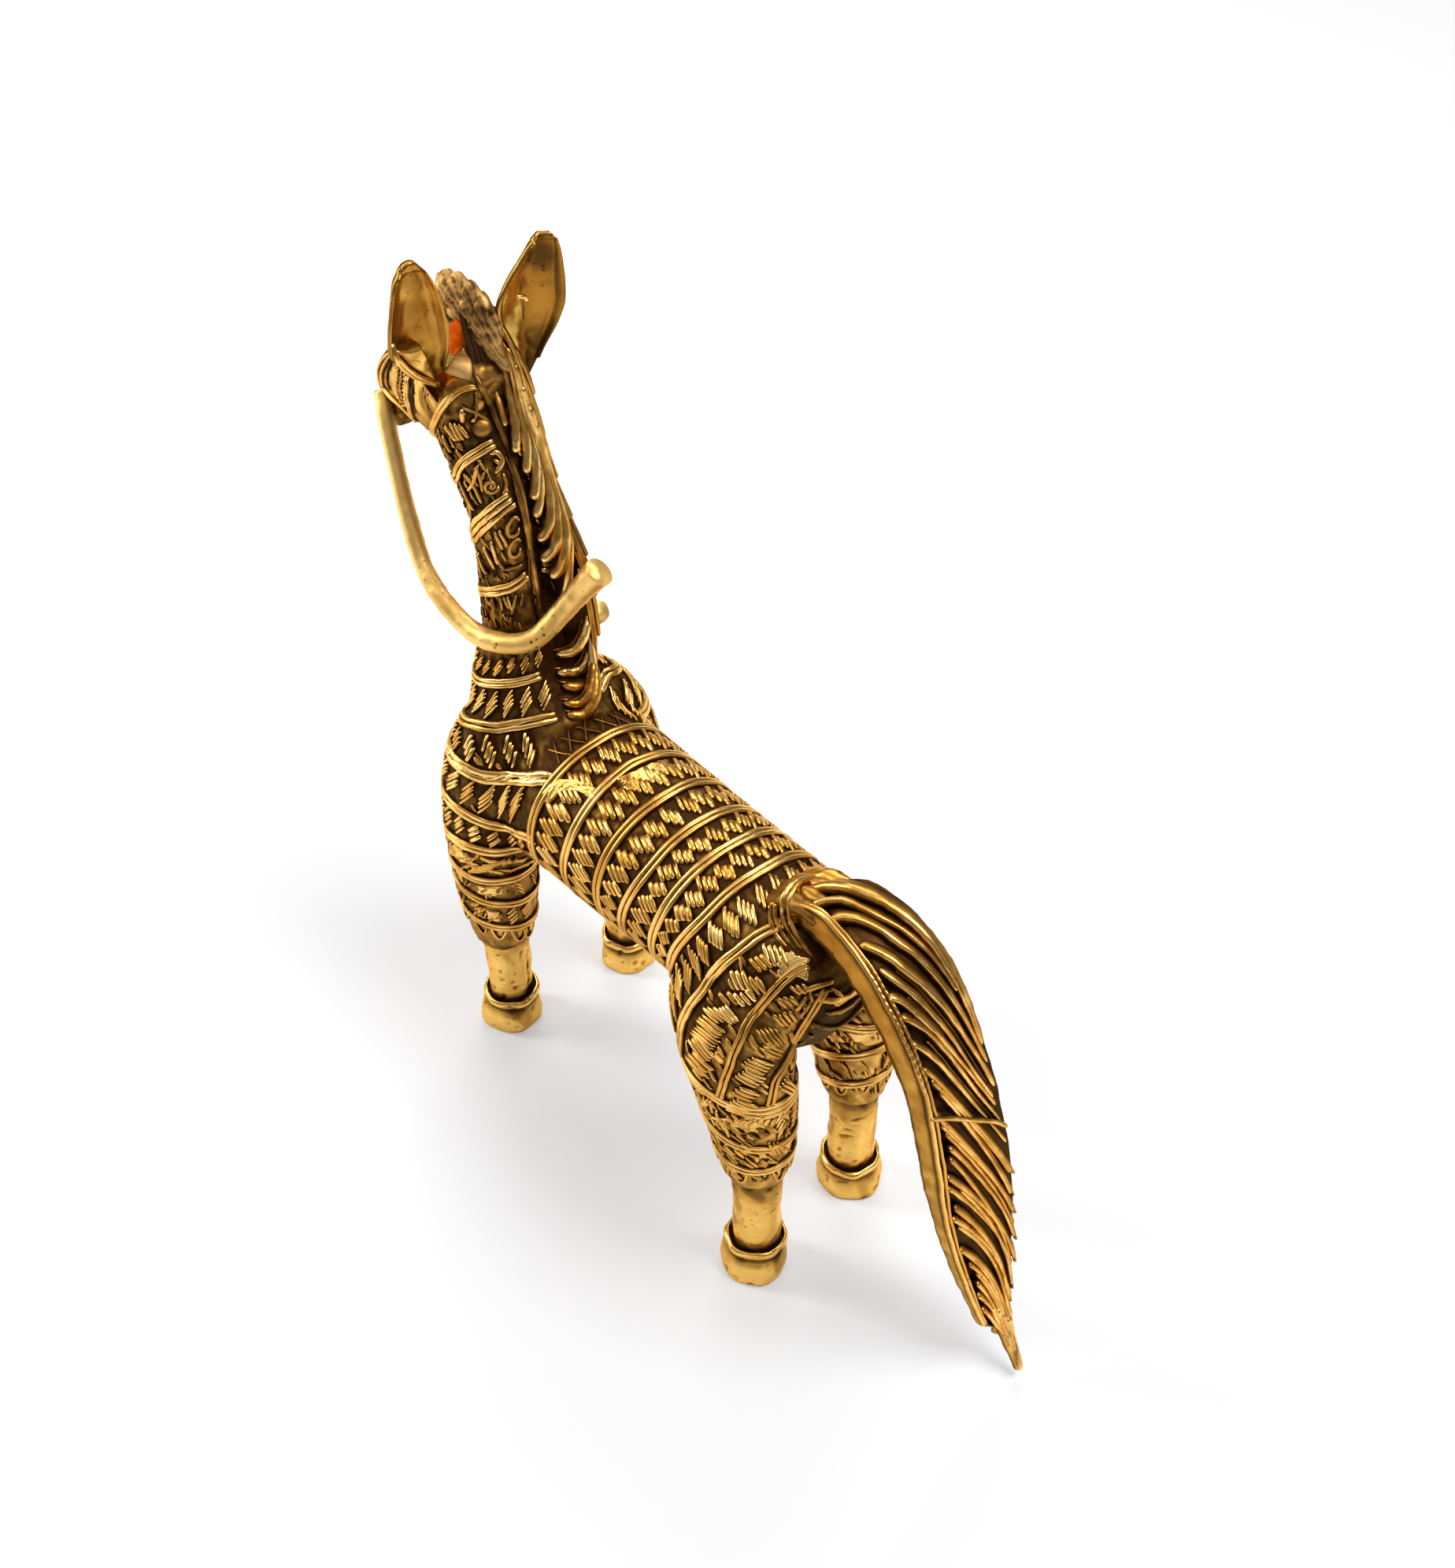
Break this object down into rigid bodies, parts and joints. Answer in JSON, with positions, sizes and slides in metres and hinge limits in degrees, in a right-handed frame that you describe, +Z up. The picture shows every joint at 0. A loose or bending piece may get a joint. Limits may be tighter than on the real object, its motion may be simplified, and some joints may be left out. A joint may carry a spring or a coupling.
{
  "type": "brass horse figurine",
  "caption": "Standing lost-wax cast brass horse covered in wire-thread bands, with upright ears, loose reins, a side-falling mane and a long sweeping tail.",
  "frame": {"origin": "middle of the outline box on the surface the hooves stand on", "axes": "+Z up, the horse faces -Y, its left side is +X"},
  "size_m": [0.0575, 0.216, 0.2115],
  "materials": {
    "brass": "bright worn threads over a dark brown patina in the recesses, smooth polished legs, hooves, ears and reins"
  },
  "bodies": {
    "root": {"horse_casting": "brass"}
  },
  "joints": []
}
